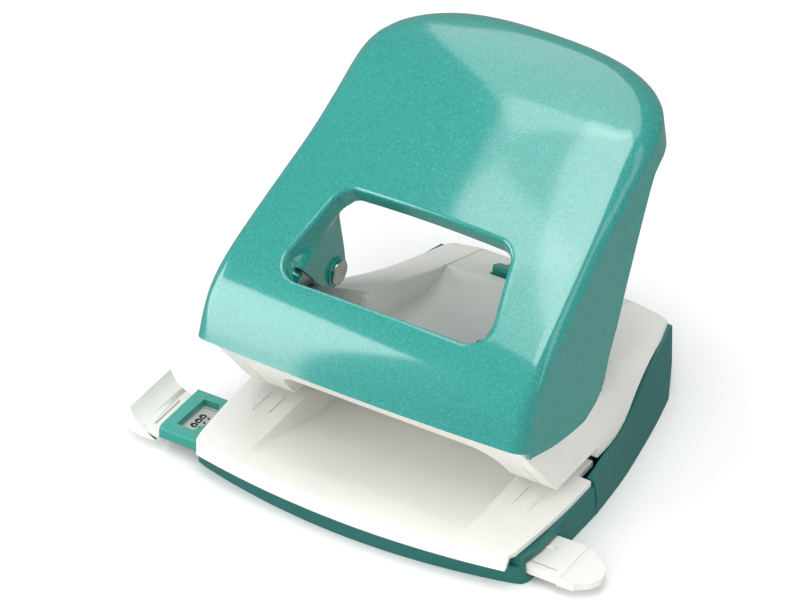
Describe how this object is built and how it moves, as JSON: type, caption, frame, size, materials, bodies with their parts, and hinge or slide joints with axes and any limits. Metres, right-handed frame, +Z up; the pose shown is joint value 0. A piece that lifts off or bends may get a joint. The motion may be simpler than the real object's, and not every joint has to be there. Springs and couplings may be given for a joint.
{
  "type": "hole punch",
  "caption": "Two-hole paper punch with a teal metallic steel lever, white moulded body, teal base and sliding paper guide.",
  "frame": {"origin": "midway between the axes of the two punches, on the surface the punch stands on", "axes": "+X to the right seen from the paper side (along the line through both punches), +Y from the paper side to the back, +Z up"},
  "size_m": [0.1535, 0.1202, 0.108],
  "materials": {
    "lever_paint": "metallic flake paint, glossy",
    "bright_steel": "turned and polished",
    "zinc_steel": "stamped, zinc plated",
    "white_plastic": "fine moulded texture",
    "teal_plastic": "fine moulded texture",
    "light_teal_plastic": "satin",
    "pale_grey_plastic": "satin, slightly translucent",
    "format_label": "printed label"
  },
  "bodies": {
    "base": {"front_base": "teal_plastic", "paper_table": "white_plastic", "top_cover": "white_plastic", "punch_frame_left": "zinc_steel", "punch_frame_right": "zinc_steel", "pivot_axle": "bright_steel", "axle_clip_left": "zinc_steel", "axle_clip_right": "zinc_steel", "rail_window": "light_teal_plastic", "rail_detent": "zinc_steel", "tray_pin_left": "zinc_steel", "tray_pin_right": "zinc_steel", "punch_spring_left": "bright_steel", "punch_spring_right": "bright_steel"},
    "lever": {"press_lever": "lever_paint", "drive_pin_left": "bright_steel", "drive_pin_right": "bright_steel", "pin_collar_left": "lever_paint", "pin_collar_right": "lever_paint"},
    "left_punch": {"punch_left": "bright_steel", "spring_washer_left": "zinc_steel"},
    "right_punch": {"punch_right": "bright_steel", "spring_washer_right": "zinc_steel"},
    "paper_guide": {"guide_rail": "pale_grey_plastic", "format_strip": "format_label", "end_stop": "pale_grey_plastic", "rail_tab": "pale_grey_plastic"},
    "tray": {"chip_tray": "teal_plastic"},
    "lock": {"lever_lock": "light_teal_plastic"}
  },
  "joints": [
    {"name": "lever_hinge", "type": "hinge", "parent": "base", "child": "lever", "pos_m": [0, -0.021, 0.045], "axis": [-1, 0, 0], "range_deg": [0, 26], "stiffness_Nm_per_rad": 0.8, "springref_deg": -20.05},
    {"name": "left_punch_slide", "type": "slide", "parent": "base", "child": "left_punch", "axis": [0, 0, -1], "range_m": [0, 0.0102], "stiffness_N_per_m": 200, "springref_m": -0.003, "deforming": ["punch_spring_left"]},
    {"name": "right_punch_slide", "type": "slide", "parent": "base", "child": "right_punch", "axis": [0, 0, -1], "range_m": [0, 0.0102], "stiffness_N_per_m": 200, "springref_m": -0.003, "deforming": ["punch_spring_right"]},
    {"name": "guide_slide", "type": "slide", "parent": "base", "child": "paper_guide", "axis": [-1, 0, 0], "range_m": [0, 0.08]},
    {"name": "tray_hinge", "type": "hinge", "parent": "base", "child": "tray", "pos_m": [0, -0.0125, 0.0028], "axis": [-1, 0, 0], "range_deg": [0, 50]},
    {"name": "lock_slide", "type": "slide", "parent": "base", "child": "lock", "axis": [0, 1, 0], "range_m": [0, 0.004]}
  ],
  "couplings": [
    {"joint": "left_punch_slide", "follows": "lever_hinge", "m_per_rad": 0.02204},
    {"joint": "right_punch_slide", "follows": "lever_hinge", "m_per_rad": 0.02204}
  ]
}
